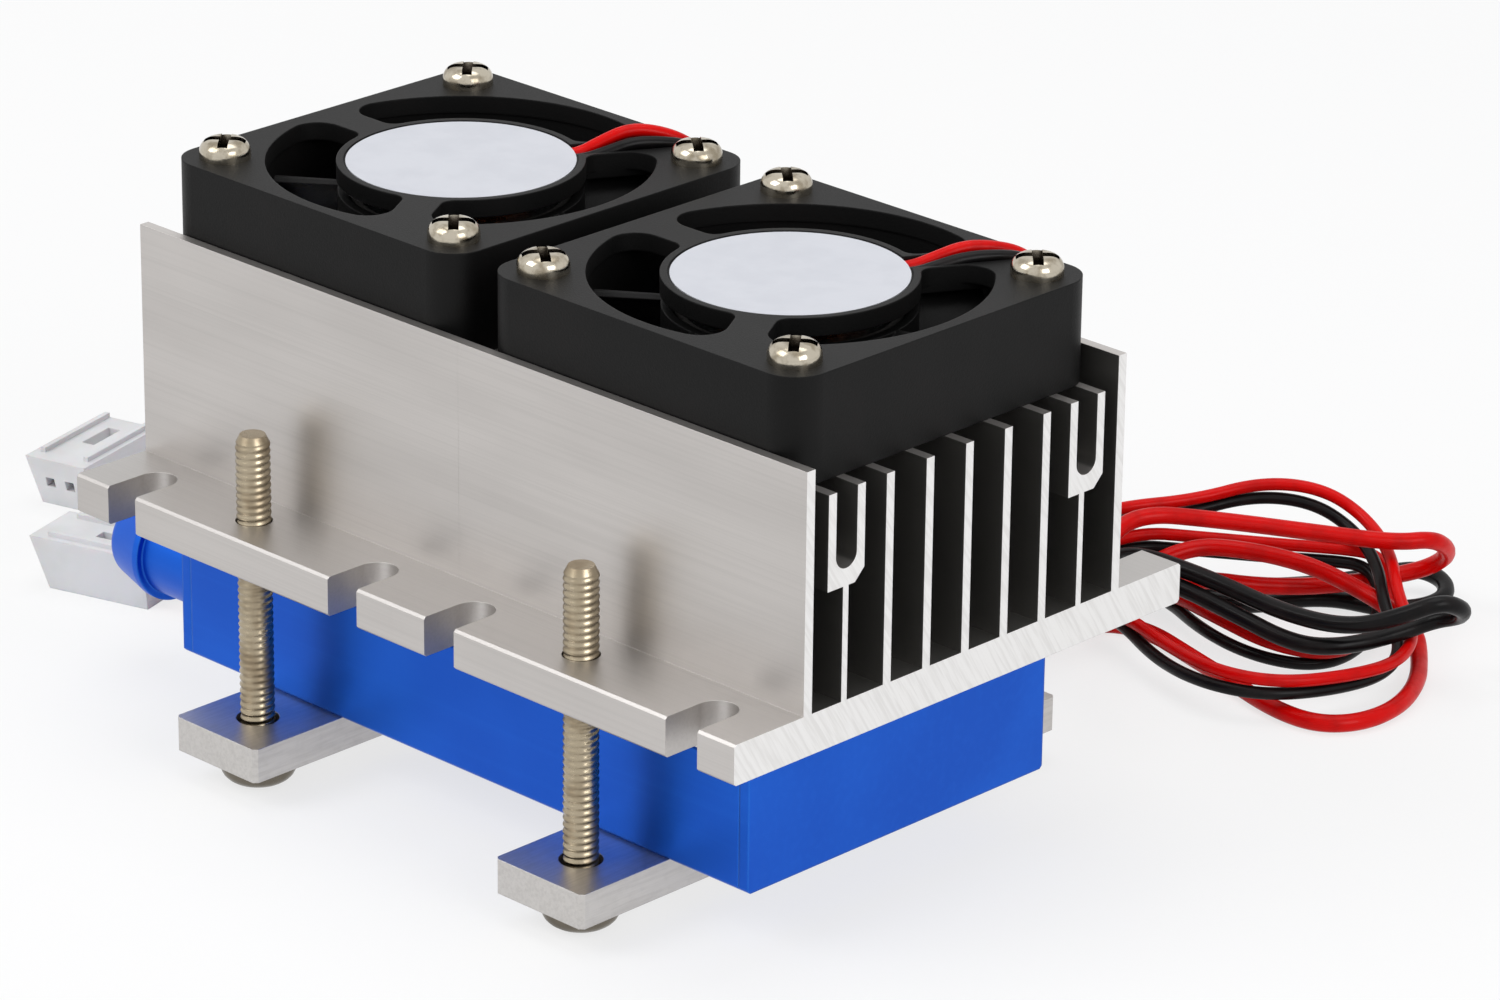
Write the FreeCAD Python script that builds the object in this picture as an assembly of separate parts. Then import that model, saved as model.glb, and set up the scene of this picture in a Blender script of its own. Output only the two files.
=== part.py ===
import FreeCAD, Part
import math
import os

os.makedirs("parts", exist_ok=True)

# Sizes are millimetres. X runs along the two heat sinks, Y towards the lead side, Z up.
# The origin is on the surface that the clamp screws' heads stand on, under the middle of
# the rigid outline, which runs from the noses of the hose barbs to the far heat sink's end,
# and over the clamp bars' length. The solids are made about the heat sinks' middle line,
# and save() moves them to the middle of the outline.
# Every cutter reaches this far past the faces that it cuts:
past = 1.0

# Heat sinks: two saw-cut lengths of one extrusion, standing end to end
sink_over = 4.7
flange_reach = 8.8
base_thick = 4.0
wall_gap = 1.2
wall_thick = 1.05
wall_tall = 23.5
fin_tall = 20.5
fin_thick = 1.0
fin_pitch = 5.2
fin_count = 5
stem_thick = 0.7
near_stem_shift = 0.0
far_stem_shift = -0.5
channel_wide = 4.7
channel_slot = 2.7
channel_deep = 7.6
channel_foot = 1.7
channel_bevel = 1.2
flange_slot_wide = 4.0
flange_slot_deep = 6.5
flange_slot_gap = 31.5
flange_edge = 0.25

# Fans: square frame, label side up, three webs from the frame to the motor seat
fan_set_in = 0.7
fan_wide = 40.0
fan_deep = 10.3
fan_corner = 3.5
fan_hole_inset = 4.0
fan_hole_r = 1.8
fan_rim = 1.0
opening_lip = 0.2
seat_r = 12.0
grille_thick = 1.8
web_wide = 3.8
web_angles = (60.0, 180.0, 300.0)
lead_web_angle = 60.0
opening_outer_round = 2.6
opening_inner_round = 1.5
lead_groove_wide = 3.1
lead_groove_deep = 1.6
lead_floor = 0.9
lead_window_r = 9.4
label_r = 11.1
label_thick = 0.15
label_recess = 0.2
label_gap = 0.2
lead_window_over = 0.4

# Fan motor
blade_count = 7
tip_gap = 0.6
rotor_top_gap = 1.2
rotor_foot_gap = 0.6
cup_r = 11.9
cup_wall = 0.9
cup_floor = 1.2
cup_round = 0.6
blade_thick = 0.8
blade_hub_half = 2.3
blade_camber = 0.9
blade_foot_gap = 0.3
blade_top_gap = 0.1
magnet_gap = 0.05
magnet_thick = 1.0
magnet_short = 0.4
air_gap = 0.4
shaft_r = 0.75
shaft_run_gap = 0.03
shaft_seat_gap = 0.02
shaft_boss_r = 1.9
shaft_boss_tall = 0.6
shaft_set = 0.8
shaft_top_gap = 0.9
sleeve_wall = 1.2
sleeve_gap = 0.02
sleeve_top_gap = 0.4
post_wall = 0.9
post_foot_gap = 0.4
post_step = 0.5
board_thick = 0.8
board_edge_gap = 0.2
board_hole_gap = 0.1
board_chip_long = 3.0
board_chip_wide = 2.0
board_chip_tall = 0.6
core_drop = 1.3
core_thick = 2.6
core_ring = 1.1
core_gap = 0.05
core_arm = 2.2
core_shoe = 1.9
core_shoe_half_angle = 36.0
pole_count = 4
coil_build = 1.15
coil_over = 1.0
coil_short = 0.2
coil_round = 0.8

# Fan screws
fan_screw_r = 1.3
fan_screw_bite = 6.4
fan_head_r = 2.5
fan_head_tall = 1.9
fan_head_side = 0.7
fan_head_flat = 1.0
fan_head_bulge = 0.3

# Thermoelectric modules: two ceramic plates, pellets between them, a silicone rim
module_thick = 4.0
ceramic_thick = 0.8
module_gap = 0.4
pellet_wide = 1.4
pellet_gap = 1.55
pellet_rows = 12
seal_inset = 0.3
seal_wide = 1.5

# Water block
block_short = 11.4
block_side = 1.4
block_tall = 12.6
block_setback = 7.8
block_bevel = 0.3
cap_thick = 1.25
cap_plug = 1.0
cap_plug_gap = 0.05
passage_tall = 8.0
passage_rib = 1.0
passage_rows = 4
middle_wall = 2.4
header_long = 8.0
barb_inset = 7.0
barb_neck_r = 4.7
barb_neck_long = 8.8
barb_head_r = 5.4
barb_nose_r = 4.1
barb_nose_round = 1.2
barb_long = 14.6
barb_root_r = 3.6
barb_root_gap = 0.05
barb_bore_r = 2.5
barb_lip = 0.7

# Clamp bars and their screws
bar_wide = 11.5
bar_over = 2.3
bar_forward = 1.3
bar_thick = 3.5
bar_bevel = 0.4
clamp_shift = -1.6
clamp_inset = 4.5
clamp_r = 1.7
clamp_shank_r = 1.5
clamp_hole_gap = 0.1
clamp_bar_hole_r = 2.1
clamp_top = 8.8
clamp_tip_bevel = 0.5
clamp_head_r = 3.7
clamp_head_tall = 3.1
clamp_head_flat = 2.0
clamp_head_rim = 1.4
clamp_head_bulge = 0.45

# Lead plugs: one white two-way housing for each fan
plug_long = 12.0
plug_wide = 7.6
plug_foot_wide = 6.0
plug_tall = 5.8
plug_lean = 1.8
plug_pitch = 2.5
plug_cavity_wide = 2.0
plug_cavity_tall = 2.6
plug_cavity_long = 9.0
plug_pin_wide = 1.1
plug_slot_wide = 1.5
plug_slot_long = 5.0
plug_slot_set = 2.6
plug_slot_floor = 0.4
plug_rib_wide = 0.6
plug_rib_tall = 0.5
plug_rib_set = 0.76
contact_gap = 0.1
contact_long = 6.0
contact_set = 2.3

# Leads, and the hank: the loose loops of all of them, lying behind one end
fan_lead_r = 0.65
module_lead_r = 0.9
hank_spot = (25.4, 62.6)
hank_heading = 44.0
hank_half_long = 28.5
hank_half_wide = 20.0
hank_tall = 12.5
hank_near_tall = 3.5
hank_slope_wide = 15.0
hank_eye_half_long = 14.0
hank_eye_half_wide = 4.0

# Heights and places that follow from the sizes above
bar_z = clamp_head_tall
block_z = bar_z + bar_thick
module_z = block_z + block_tall
sink_z = module_z + module_thick
deck_z = sink_z + base_thick
fan_z = deck_z + fin_tall
fan_top = fan_z + fan_deep
sink_long = fan_wide + sink_over
wall_face = fan_wide / 2 + wall_gap
flange_half = wall_face + flange_reach
bar_half = flange_half + bar_over
block_front = sink_long - block_setback
block_long = 2 * sink_long - block_short
barb_tip = block_long - block_front + barb_long
pair_x = (barb_tip - sink_long) / 2
fan_pitch = sink_long - fan_set_in
fan_centres = (pair_x - fan_pitch / 2, pair_x + fan_pitch / 2)
clamp_y = flange_half - clamp_inset
sink_starts = (pair_x - sink_long, pair_x)
clamp_xs = tuple(start + sink_long / 2 + clamp_shift for start in sink_starts)
module_wide = fan_wide
module_pitch = module_wide + module_gap
block_middle = pair_x + block_front - block_long / 2
module_centres = (block_middle - module_pitch / 2, block_middle + module_pitch / 2)
pellet_bed_wide = module_wide - 2 * (seal_inset + seal_wide + pellet_gap)
pellet_pitch = (pellet_bed_wide - pellet_wide) / (pellet_rows - 1)
block_half = module_wide / 2
passage_room = block_half - block_side - middle_wall / 2 - (passage_rows - 1) * passage_rib
passage_wide = passage_room / passage_rows
barb_y = block_half - barb_inset
hole_half = fan_wide / 2 - fan_hole_inset
duct_r = fan_wide / 2 - fan_rim
opening_r = duct_r - opening_lip
duct_floor = fan_top - grille_thick
rotor_top = duct_floor - rotor_top_gap
rotor_foot = fan_z + rotor_foot_gap
cup_inside_z = rotor_foot + cup_floor
magnet_r = cup_r - cup_wall - magnet_gap
core_r = magnet_r - magnet_thick - air_gap
sleeve_r = shaft_r + shaft_run_gap + sleeve_wall
post_r = sleeve_r + sleeve_gap + post_wall
post_foot = cup_inside_z + shaft_boss_tall + post_foot_gap
sleeve_top = duct_floor - sleeve_top_gap
core_top = duct_floor - board_thick - core_drop

V = FreeCAD.Vector
up = V(0, 0, 1)


def box(x0, y0, z0, x1, y1, z1):
    return Part.makeBox(x1 - x0, y1 - y0, z1 - z0, V(x0, y0, z0))


def rod(r, x, y, z0, z1):
    return Part.makeCylinder(r, z1 - z0, V(x, y, z0), up)


def ring(outer, inner, x, y, z0, z1):
    return rod(outer, x, y, z0, z1).cut(rod(inner, x, y, z0, z1))


def face_of(points):
    return Part.Face(Part.makePolygon(points + points[:1]))


def bulge(a, b, by):
    # an arc's middle point, that far out from the middle of its chord from a to b
    chord = math.hypot(b[0] - a[0], b[1] - a[1])
    return ((a[0] + b[0]) / 2 + by * (b[1] - a[1]) / chord,
            (a[1] + b[1]) / 2 - by * (b[0] - a[0]) / chord)


def turned(outline, x, y, z):
    # a solid of revolution about a vertical axis, from (radius, height) pairs and arcs
    edges = []
    for step in outline:
        ends = [V(x + r, y, z + h) for r, h in step]
        if len(ends) == 2:
            edges.append(Part.LineSegment(*ends).toShape())
        else:
            edges.append(Part.Arc(*ends).toShape())
    return Part.Face(Part.Wire(edges)).revolve(V(x, y, z), up, 360)


def save(name, shape):
    shape.translate(V(0, -bar_forward, 0))
    shape.exportStep("parts/" + name + ".step")
    print(name, len(shape.Solids), round(shape.Volume, 1), shape.isValid())


def section(y0, z0, y1, z1):
    return face_of([V(0, y0, z0), V(0, y1, z0), V(0, y1, z1), V(0, y0, z1)])


def screw_channel(middle, stem):
    # a round-bottomed channel on a thin stem, which the fan screws cut their thread in
    top = deck_z + fin_tall
    half = channel_wide / 2
    foot = top - channel_deep - channel_foot
    outer = face_of([V(0, middle - half, top), V(0, middle - half, foot),
                     V(0, middle + half - channel_bevel, foot),
                     V(0, middle + half, foot + channel_bevel), V(0, middle + half, top)])
    r = channel_slot / 2
    bottom = top - channel_deep + r
    slot = section(middle - r, bottom, middle + r, top)
    round_end = Part.Face(Part.Wire(Part.makeCircle(r, V(0, middle, bottom), V(1, 0, 0))))
    leg = section(stem - stem_thick / 2, deck_z - base_thick / 2, stem + stem_thick / 2,
                  foot + channel_foot / 4)
    channel = outer.cut(slot).cut(round_end)
    return [channel, leg]


def sink_extrusion():
    e = flange_edge
    f = flange_half
    base = face_of([V(0, -f, sink_z + e), V(0, -f + e, sink_z), V(0, f - e, sink_z),
                    V(0, f, sink_z + e), V(0, f, deck_z - e), V(0, f - e, deck_z),
                    V(0, -f + e, deck_z), V(0, -f, deck_z - e)])
    root = deck_z - base_thick / 2
    ribs = [section(-wall_face, root, -wall_face + wall_thick, deck_z + wall_tall),
            section(wall_face - wall_thick, root, wall_face, deck_z + wall_tall)]
    ribs += screw_channel(-hole_half, -hole_half + near_stem_shift)
    ribs += screw_channel(hole_half, hole_half + far_stem_shift)
    for i in range(fin_count):
        y = (i - (fin_count - 1) / 2) * fin_pitch
        ribs.append(section(y - fin_thick / 2, root, y + fin_thick / 2, deck_z + fin_tall))
    length = V(sink_long, 0, 0)
    return base.extrude(length).multiFuse([rib.extrude(length) for rib in ribs]).removeSplitter()


def heat_sink(start, clamp_x):
    sink = sink_extrusion()
    sink.translate(V(start, 0, 0))
    low, high = sink_z - past, deck_z + past
    r = flange_slot_wide / 2
    inner = flange_half - flange_slot_deep + r
    cuts = []
    for side in (-1, 1):
        for end in (-1, 1):
            x = start + sink_long / 2 + end * flange_slot_gap / 2
            edge = sorted((side * inner, side * (flange_half + past)))
            cuts.append(box(x - r, edge[0], low, x + r, edge[1], high))
            cuts.append(rod(r, x, side * inner, low, high))
        cuts.append(rod(clamp_r + clamp_hole_gap, clamp_x, side * clamp_y, low, high))
    return sink.cut(cuts[0].multiFuse(cuts[1:]))


def turn_about(shape, x, y, degrees):
    shape.rotate(V(x, y, 0), up, degrees)
    return shape


def web_bar(cx, angle, half, z0, z1, reach):
    return turn_about(box(cx, -half, z0, cx + reach, half, z1), cx, 0, angle)


def openings(cx):
    # the three kidney-shaped openings between the webs
    low, high = duct_floor - past, fan_top + past
    band = ring(opening_r, seat_r, cx, 0, low, high)
    for angle in web_angles:
        band = band.cut(web_bar(cx, angle, web_wide / 2, low - past, high + past, fan_wide))
    rounded = []
    for kidney in band.Solids:
        far, near = [], []
        for edge in kidney.Edges:
            a, b = edge.Vertexes[0].Point, edge.Vertexes[-1].Point
            if abs(abs(a.z - b.z) - (high - low)) < 1e-6:
                away = math.hypot(a.x - cx, a.y)
                (far if away > (opening_r + seat_r) / 2 else near).append(edge)
        kidney = kidney.makeFillet(opening_outer_round, far)
        near = [e for e in kidney.Edges if upright_at(e, cx, seat_r, high - low)]
        rounded.append(kidney.makeFillet(opening_inner_round, near))
    return rounded


def upright_at(edge, cx, r, tall):
    a, b = edge.Vertexes[0].Point, edge.Vertexes[-1].Point
    upright = abs(abs(a.z - b.z) - tall) < 1e-6
    return upright and abs(math.hypot(a.x - cx, a.y) - r) < 1e-3


def fan_frame(cx):
    half = fan_wide / 2
    frame = box(cx - half, -half, fan_z, cx + half, half, fan_top)
    corners = [e for e in frame.Edges if abs(e.BoundBox.ZLength - fan_deep) < 1e-6]
    frame = frame.makeFillet(fan_corner, corners)
    cuts = openings(cx)
    cuts.append(rod(duct_r, cx, 0, fan_z - past, duct_floor))
    for sx in (-1, 1):
        for sy in (-1, 1):
            cuts.append(rod(fan_hole_r, cx + sx * hole_half, sy * hole_half, fan_z - past,
                            fan_top + past))
    frame = frame.cut(cuts[0].multiFuse(cuts[1:]))
    groove_floor = fan_top - lead_groove_deep
    trough = web_bar(cx, lead_web_angle, web_wide / 2, groove_floor - lead_floor, fan_top, duct_r)
    trough = trough.cut(rod(seat_r - past, cx, 0, fan_z, fan_top))
    post = rod(post_r, cx, 0, post_foot, fan_top - label_recess)
    step = rod(post_r + post_step, cx, 0, core_top, fan_top - label_recess)
    frame = frame.multiFuse([trough.common(rod(duct_r, cx, 0, fan_z, fan_top)), post, step])
    low, high = duct_floor - past, fan_top + past
    groove = web_bar(cx, lead_web_angle, lead_groove_wide / 2, groove_floor, high, fan_wide)
    groove = groove.cut(rod(seat_r, cx, 0, fan_z, high + past))
    window = box(cx + lead_window_r, -lead_groove_wide / 2, low, cx + seat_r + lead_window_over,
                 lead_groove_wide / 2, high)
    window = turn_about(window, cx, 0, lead_web_angle)
    hollow = rod(sleeve_r + sleeve_gap, cx, 0, post_foot - past, sleeve_top)
    recess = rod(label_r + label_gap, cx, 0, fan_top - label_recess, high)
    return frame.cut(groove.multiFuse([window, hollow, recess])).removeSplitter()


def blade(cx):
    # a cambered plate that widens from the cup to the tip, trimmed by the tip cylinder
    tip_r = duct_r - tip_gap
    low, high = rotor_foot + blade_foot_gap, rotor_top - blade_top_gap
    wires = []
    for r in (cup_r - cup_wall - past, tip_r + 2 * past):
        half = blade_hub_half * r / cup_r
        chord = math.hypot(2 * half, high - low)
        side = V(0, -(high - low) / chord, 2 * half / chord)
        a, b = V(cx + r, -half, low), V(cx + r, half, high)
        bow = (a + b) * 0.5 + side * blade_camber
        t = side * (blade_thick / 2)
        wires.append(Part.Wire([Part.Arc(a + t, bow + t, b + t).toShape(),
                                Part.LineSegment(b + t, b - t).toShape(),
                                Part.Arc(b - t, bow - t, a - t).toShape(),
                                Part.LineSegment(a - t, a + t).toShape()]))
    plate = Part.makeLoft(wires, True, True)
    return plate.common(ring(tip_r, cup_r - cup_wall / 2, cx, 0, rotor_foot, rotor_top))


def impeller(cx):
    cup = rod(cup_r, cx, 0, rotor_foot, rotor_top)
    foot = [e for e in cup.Edges if abs(e.BoundBox.ZMax - rotor_foot) < 1e-6]
    cup = cup.makeFillet(cup_round, foot)
    cup = cup.cut(rod(cup_r - cup_wall, cx, 0, cup_inside_z, rotor_top + past))
    boss = rod(shaft_boss_r, cx, 0, cup_inside_z - cup_floor / 2, cup_inside_z + shaft_boss_tall)
    blades = []
    for i in range(blade_count):
        blades.append(turn_about(blade(cx), cx, 0, i * 360 / blade_count))
    whole = cup.multiFuse([boss] + blades)
    return whole.cut(rod(shaft_r + shaft_seat_gap, cx, 0, cup_inside_z - shaft_set, rotor_top))


def rotor_magnet(cx):
    return ring(magnet_r, magnet_r - magnet_thick, cx, 0, cup_inside_z, rotor_top - magnet_short)


def rotor_shaft(cx):
    return rod(shaft_r, cx, 0, cup_inside_z - shaft_set, sleeve_top - shaft_top_gap)


def bearing_sleeve(cx):
    return ring(sleeve_r, shaft_r + shaft_run_gap, cx, 0, post_foot, sleeve_top)


def stator_core(cx):
    z0, z1 = core_top - core_thick, core_top
    inner = post_r + core_gap
    core = ring(inner + core_ring, inner, cx, 0, z0, z1)
    shoes = ring(core_r, core_r - core_shoe, cx, 0, z0, z1)
    parts = []
    for i in range(pole_count):
        angle = i * 360 / pole_count
        arm = box(cx + inner + core_ring / 2, -core_arm / 2, z0, cx + core_r - core_shoe / 2,
                  core_arm / 2, z1)
        parts.append(turn_about(arm, cx, 0, angle))
        spread = fan_wide * math.tan(math.radians(core_shoe_half_angle))
        wedge = face_of([V(cx, 0, z0), V(cx + fan_wide, -spread, z0), V(cx + fan_wide, spread, z0)])
        wedge = wedge.extrude(V(0, 0, core_thick))
        parts.append(shoes.common(turn_about(wedge, cx, 0, angle)))
    return core.multiFuse(parts).removeSplitter()


def stator_coils(cx):
    half = core_arm / 2
    x0 = cx + post_r + core_gap + core_ring + coil_short
    x1 = cx + math.sqrt((core_r - core_shoe) ** 2 - (half + coil_build) ** 2) - coil_short
    z0, z1 = core_top - core_thick, core_top
    coils = []
    for i in range(pole_count):
        coil = box(x0, -half - coil_build, z0 - coil_over, x1, half + coil_build, z1 + coil_over)
        corners = [e for e in coil.Edges if abs(e.BoundBox.XLength - (x1 - x0)) < 1e-6]
        coil = coil.makeFillet(coil_round, corners)
        coil = coil.cut(box(x0 - past, -half, z0, x1 + past, half, z1))
        coils.append(turn_about(coil, cx, 0, i * 360 / pole_count))
    return Part.makeCompound(coils)


def fan_board(cx):
    z1 = duct_floor
    z0 = z1 - board_thick
    outer = core_r - board_edge_gap
    board = ring(outer, post_r + post_step + board_hole_gap, cx, 0, z0, z1)
    middle = (outer + post_r) / 2
    chip = box(cx + middle - board_chip_long / 2, -board_chip_wide / 2, z0 - board_chip_tall,
               cx + middle + board_chip_long / 2, board_chip_wide / 2, z0)
    return board.fuse(turn_about(chip, cx, 0, 180 / pole_count)).removeSplitter()


def fan_label(cx):
    z = fan_top - label_recess
    return rod(label_r, cx, 0, z, z + label_thick)


def fan_screws(cx):
    r, h, side, flat = fan_head_r, fan_head_tall, fan_head_side, fan_head_flat
    shank, foot = fan_screw_r, -fan_deep - fan_screw_bite
    bow = bulge((r, side), (flat, h), fan_head_bulge)
    outline = [((0, foot), (shank, foot)), ((shank, foot), (shank, 0)), ((shank, 0), (r, 0)),
               ((r, 0), (r, side)), ((r, side), bow, (flat, h)), ((flat, h), (0, h)),
               ((0, h), (0, foot))]
    screws = []
    for sx in (-1, 1):
        for sy in (-1, 1):
            screws.append(turned(outline, cx + sx * hole_half, sy * hole_half, fan_top))
    return Part.makeCompound(screws)


def module_plate(cx, z):
    half = module_wide / 2
    return box(cx - half, -half, z, cx + half, half, z + ceramic_thick)


def pellet_bed(cx):
    # square pellets in rows, less the two at the corners where the leads are soldered
    z0 = module_z + ceramic_thick
    z1 = sink_z - ceramic_thick
    last = pellet_rows - 1
    pellets = []
    for i in range(pellet_rows):
        for j in range(pellet_rows):
            if j == last and i in (0, last):
                continue
            x = cx + (i - last / 2) * pellet_pitch - pellet_wide / 2
            y = (j - last / 2) * pellet_pitch - pellet_wide / 2
            pellets.append(box(x, y, z0, x + pellet_wide, y + pellet_wide, z1))
    return Part.makeCompound(pellets)


def module_seal(cx):
    z0 = module_z + ceramic_thick
    z1 = sink_z - ceramic_thick
    a = module_wide / 2 - seal_inset
    b = a - seal_wide
    return box(cx - a, -a, z0, cx + a, a, z1).cut(box(cx - b, -b, z0, cx + b, b, z1))


def passage_edge():
    return middle_wall / 2 + passage_rows * passage_wide + (passage_rows - 1) * passage_rib


def block_body(x0, x1):
    # long passages side by side, open to a header at each end, so the water goes up one
    # side of the middle wall and comes back down the other
    body = box(x0, -block_half, block_z, x1, block_half, module_z)
    corners = [e for e in body.Edges if abs(e.BoundBox.XLength - (x1 - x0)) < 1e-6]
    body = body.makeChamfer(block_bevel, corners)
    z0 = block_z + (block_tall - passage_tall) / 2
    z1 = z0 + passage_tall
    wet = []
    for side in (-1, 1):
        for i in range(passage_rows):
            y = middle_wall / 2 + i * (passage_wide + passage_rib)
            ys = sorted((side * y, side * (y + passage_wide)))
            wet.append(box(x0, ys[0], z0, x1, ys[1], z1))
        ys = sorted((side * middle_wall / 2, side * passage_edge()))
        wet.append(box(x0, ys[0], z0, x0 + header_long, ys[1], z1))
    wet.append(box(x1 - header_long, -passage_edge(), z0, x1, passage_edge(), z1))
    return body.cut(wet[0].multiFuse(wet[1:]))


def block_cap(x0, x1, plug_x, spans):
    cap = box(x0, -block_half, block_z, x1, block_half, module_z)
    corners = [e for e in cap.Edges if abs(e.BoundBox.XLength - (x1 - x0)) < 1e-6]
    cap = cap.makeChamfer(block_bevel, corners)
    g = cap_plug_gap
    z0 = block_z + (block_tall - passage_tall) / 2 + g
    z1 = z0 + passage_tall - 2 * g
    plugs = [box(min(plug_x), a + g, z0, max(plug_x), b - g, z1) for a, b in spans]
    return cap.multiFuse(plugs).removeSplitter()


def barb_z():
    return block_z + block_tall / 2


def along_minus_x(r0, r1, x0, x1, y):
    if abs(r0 - r1) < 1e-9:
        return Part.makeCylinder(r0, x1 - x0, V(x1, y, barb_z()), V(-1, 0, 0))
    return Part.makeCone(r0, r1, x1 - x0, V(x1, y, barb_z()), V(-1, 0, 0))


def hose_barb(block_x, y):
    # turned fitting: root pressed in the cap, plain neck, one long barb, a bore right through
    root = block_x + cap_thick
    head = block_x - barb_neck_long
    tip = block_x - barb_long
    lip = head - barb_lip
    body = along_minus_x(barb_root_r, barb_root_r, block_x, root, y)
    body = body.multiFuse([along_minus_x(barb_neck_r, barb_neck_r, head, block_x, y),
                           along_minus_x(barb_head_r, barb_head_r, lip, head, y),
                           along_minus_x(barb_head_r, barb_nose_r, tip, lip, y)]).removeSplitter()
    rims = [e for e in body.Edges if abs(e.BoundBox.XMax - tip) < 1e-6]
    body = body.makeFillet(barb_nose_round, rims)
    return body.cut(along_minus_x(barb_bore_r, barb_bore_r, tip - past, root + past, y))


def water_block():
    front = pair_x + block_front
    rear = front - block_long
    x0, x1 = rear + cap_thick, front - cap_thick
    save("block_body", block_body(x0, x1))
    edge = passage_edge()
    inner = cap_thick / 2
    save("block_front_cap", block_cap(x1, front, (x1 - cap_plug, x1 + inner), [(-edge, edge)]))
    spans = [(-edge, -middle_wall / 2), (middle_wall / 2, edge)]
    cap = block_cap(rear, x0, (x0 - inner, x0 + cap_plug), spans)
    for i, side in enumerate((-1, 1)):
        y = side * barb_y
        seat = barb_root_r + barb_root_gap
        cap = cap.cut(along_minus_x(seat, seat, rear - past, x0 + cap_plug + past, y))
        save("hose_barb_%d" % (i + 1), hose_barb(rear, y))
    save("block_rear_cap", cap)


def clamp_bar(x):
    bar = box(x - bar_wide / 2, bar_forward - bar_half, bar_z, x + bar_wide / 2,
              bar_forward + bar_half, block_z)
    corners = [e for e in bar.Edges if abs(e.BoundBox.ZLength - bar_thick) < 1e-6]
    bar = bar.makeChamfer(bar_bevel, corners)
    for side in (-1, 1):
        hole = rod(clamp_bar_hole_r, x, side * clamp_y, bar_z - past, block_z + past)
        bar = bar.cut(hole)
    return bar


def clamp_screws(x):
    # domed head under the bar, shank up through the bar and the flange to a threaded free end
    r, h, top = clamp_head_r, clamp_head_tall, deck_z + clamp_top
    shank = clamp_shank_r
    flat, rim, tip = clamp_head_flat, h - clamp_head_rim, clamp_tip_bevel
    bow = bulge((flat, 0), (r, rim), clamp_head_bulge)
    outline = [((0, 0), (flat, 0)), ((flat, 0), bow, (r, rim)), ((r, rim), (r, h)),
               ((r, h), (shank, h)), ((shank, h), (shank, deck_z)),
               ((shank, deck_z), (clamp_r, deck_z)), ((clamp_r, deck_z), (clamp_r, top - tip)),
               ((clamp_r, top - tip), (clamp_r - tip, top)), ((clamp_r - tip, top), (0, top)),
               ((0, top), (0, 0))]
    return Part.makeCompound([turned(outline, x, side * clamp_y, 0) for side in (-1, 1)])


def placed(shape, spot, heading):
    shape.rotate(V(0, 0, 0), up, heading)
    shape.translate(spot)
    return shape


def plug_body():
    # along +X from the wire end at the origin; the mating end leans forward at the top
    low, high = plug_foot_wide / 2, plug_wide / 2
    side = face_of([V(0, -low, 0), V(0, low, 0), V(0, high, plug_tall), V(0, -high, plug_tall)])
    body = side.extrude(V(plug_long + plug_lean, 0, 0))
    tip = plug_long + plug_lean
    lean = face_of([V(plug_long, -plug_wide, 0), V(tip, -plug_wide, plug_tall),
                    V(tip + past, -plug_wide, plug_tall), V(tip + past, -plug_wide, 0)])
    body = body.cut(lean.extrude(V(0, 2 * plug_wide, 0)))
    middle = plug_tall / 2
    for side in (-1, 1):
        y = side * plug_pitch / 2
        w, t, p = plug_cavity_wide / 2, plug_cavity_tall / 2, plug_pin_wide / 2
        body = body.cut(box(-past, y - w, middle - t, plug_cavity_long, y + w, middle + t))
        body = body.cut(box(0, y - p, middle - p, tip + past, y + p, middle + p))
        rib = side * (high - plug_rib_set)
        edges = sorted((rib, rib - side * plug_rib_wide))
        body = body.fuse(box(0, edges[0], plug_tall - plug_rib_tall, plug_long, edges[1],
                             plug_tall + plug_rib_tall))
    slot = box(plug_slot_set, -plug_slot_wide / 2, middle + plug_cavity_tall / 2 + plug_slot_floor,
               plug_slot_set + plug_slot_long, plug_slot_wide / 2, plug_tall + past)
    return body.cut(slot).removeSplitter()


def plug_contacts():
    contacts = []
    floor = plug_tall / 2 - plug_cavity_tall / 2
    w = plug_cavity_wide / 2 - contact_gap
    for side in (-1, 1):
        y = side * plug_pitch / 2
        contacts.append(box(contact_set, y - w, floor, contact_set + contact_long, y + w,
                            floor + plug_cavity_tall - contact_gap))
    return Part.makeCompound(contacts)


def lead_tube(name, route, r):
    # straight runs joined by tangent arcs, each as large as its two runs allow
    points = [V(*p) for p in route]
    edges = []
    at = points[0]
    radii = []
    for before, here, after in zip(points, points[1:], points[2:]):
        d1, d2 = (here - before), (after - here)
        reach = 0.45 * min(d1.Length, d2.Length)
        d1, d2 = d1 / d1.Length, d2 / d2.Length
        half_turn = math.acos(max(-1, min(1, d1.dot(d2)))) / 2
        bend = reach / math.tan(half_turn)
        start, end = here - d1 * reach, here + d2 * reach
        inward = (d2 - d1) / (d2 - d1).Length
        crown = here + inward * (bend / math.cos(half_turn) - bend)
        edges.append(Part.LineSegment(at, start).toShape())
        edges.append(Part.Arc(start, crown, end).toShape())
        at = end
        radii.append(bend)
    edges.append(Part.LineSegment(at, points[-1]).toShape())
    path = Part.Wire(edges)
    hoop = Part.Wire(Part.makeCircle(r, points[0], points[1] - points[0]))
    tube = path.makePipeShell([hoop], True, True)
    ideal = math.pi * r * r * path.Length
    print(name, "long", round(path.Length, 1), "tightest", round(min(radii) / (2 * r), 1),
          "diameters, volume share", round(tube.Volume / ideal, 4))
    return tube


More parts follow.
